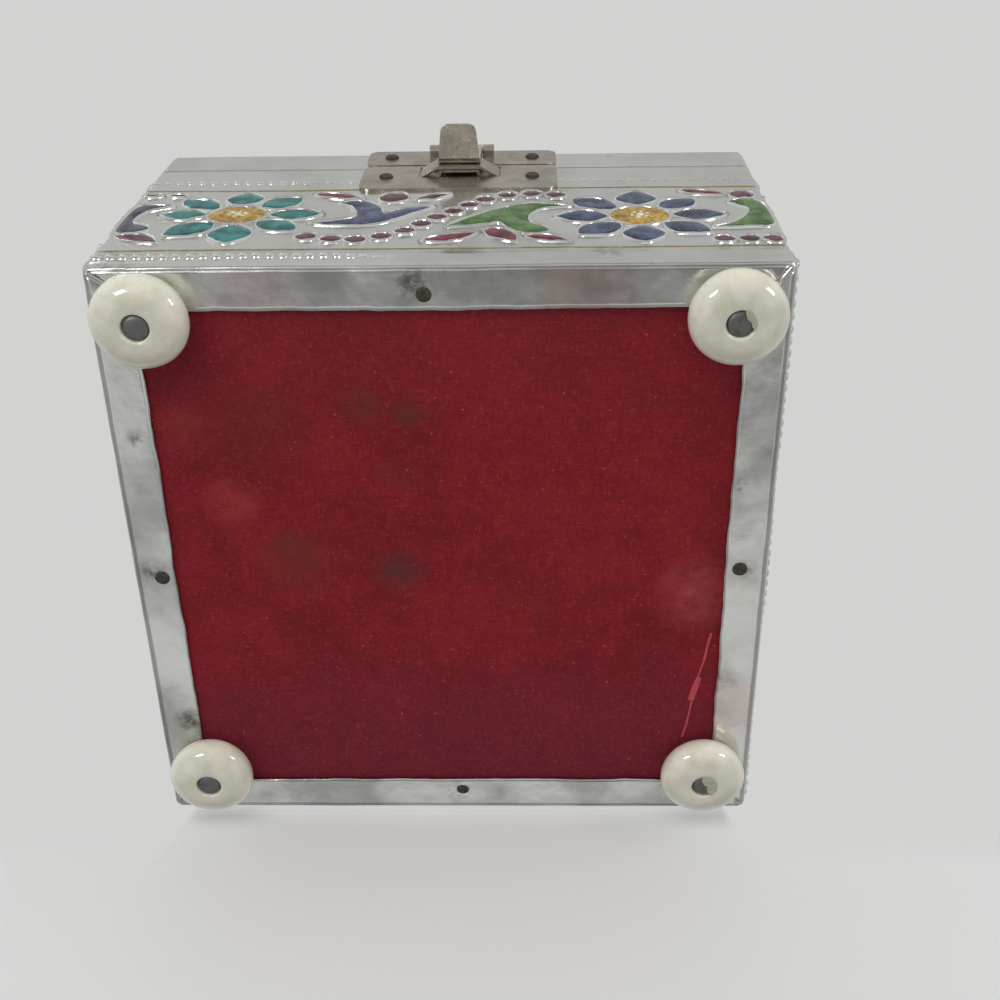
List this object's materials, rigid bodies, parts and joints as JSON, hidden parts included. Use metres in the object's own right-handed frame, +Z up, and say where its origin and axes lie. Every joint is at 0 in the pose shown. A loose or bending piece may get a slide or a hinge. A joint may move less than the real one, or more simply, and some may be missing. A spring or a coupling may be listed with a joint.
{
  "type": "trinket box",
  "caption": "Small square trinket box of wood clad in embossed enamelled sheet, with a hinged lid, a swing latch and bead feet.",
  "frame": {"origin": "centre of the footprint, latch and hinges included, at the height the feet stand on", "axes": "+Z up, -Y towards the front with the latch, +X to the right seen from the front"},
  "size_m": [0.1, 0.1122, 0.064],
  "materials": {
    "wood": "raw softwood",
    "embossed_sheet": "bright white-metal foil, embossed",
    "underside_cloth": "worn short-pile red cloth",
    "lining_cloth": "short-pile red cloth",
    "bead": "milky gloss",
    "steel_nail": "dull tarnished steel",
    "latch_nickel": "tarnished nickel plate",
    "bright_steel": "bright steel",
    "hinge_steel": "nickel plate",
    "enamel": "glassy colour over embossed sheet",
    "gold_line": "gold paint"
  },
  "bodies": {
    "base": {"base_board": "wood", "base_wall_front": "wood", "base_wall_back": "wood", "base_wall_left": "wood", "base_wall_right": "wood", "base_cladding": "embossed_sheet", "underside_felt": "underside_cloth", "floor_lining": "lining_cloth", "base_lining_front": "lining_cloth", "base_lining_back": "lining_cloth", "base_lining_left": "lining_cloth", "base_lining_right": "lining_cloth", "foot_front_left": "bead", "foot_front_right": "bead", "foot_back_left": "bead", "foot_back_right": "bead", "foot_nails": "steel_nail", "border_tacks": "steel_nail", "strike_plate": "latch_nickel", "catch_clip": "bright_steel", "strike_nails": "steel_nail", "hinge_base_leaf_left": "hinge_steel", "hinge_base_leaf_right": "hinge_steel", "hinge_pin_left": "hinge_steel", "hinge_pin_right": "hinge_steel", "hinge_base_nails": "steel_nail"},
    "lid": {"lid_board": "wood", "lid_rim_front": "wood", "lid_rim_back": "wood", "lid_rim_left": "wood", "lid_rim_right": "wood", "lid_cladding": "embossed_sheet", "lid_lining": "lining_cloth", "lid_rim_lining_front": "lining_cloth", "lid_rim_lining_back": "lining_cloth", "lid_rim_lining_left": "lining_cloth", "lid_rim_lining_right": "lining_cloth", "latch_plate": "latch_nickel", "latch_pin": "latch_nickel", "latch_plate_nails": "steel_nail", "hinge_lid_leaf_left": "hinge_steel", "hinge_lid_leaf_right": "hinge_steel", "hinge_lid_nails": "steel_nail"},
    "lever": {"latch_lever": "latch_nickel"}
  },
  "joints": [
    {"name": "lid_hinge", "type": "hinge", "parent": "base", "child": "lid", "pos_m": [0, 0.0542, 0.0533], "axis": [-1, 0, 0], "range_deg": [0, 105]},
    {"name": "latch_swing", "type": "hinge", "parent": "lid", "child": "lever", "pos_m": [0.0013, -0.0488, 0.0582], "axis": [-1, 0, 0], "range_deg": [0, 120]}
  ]
}
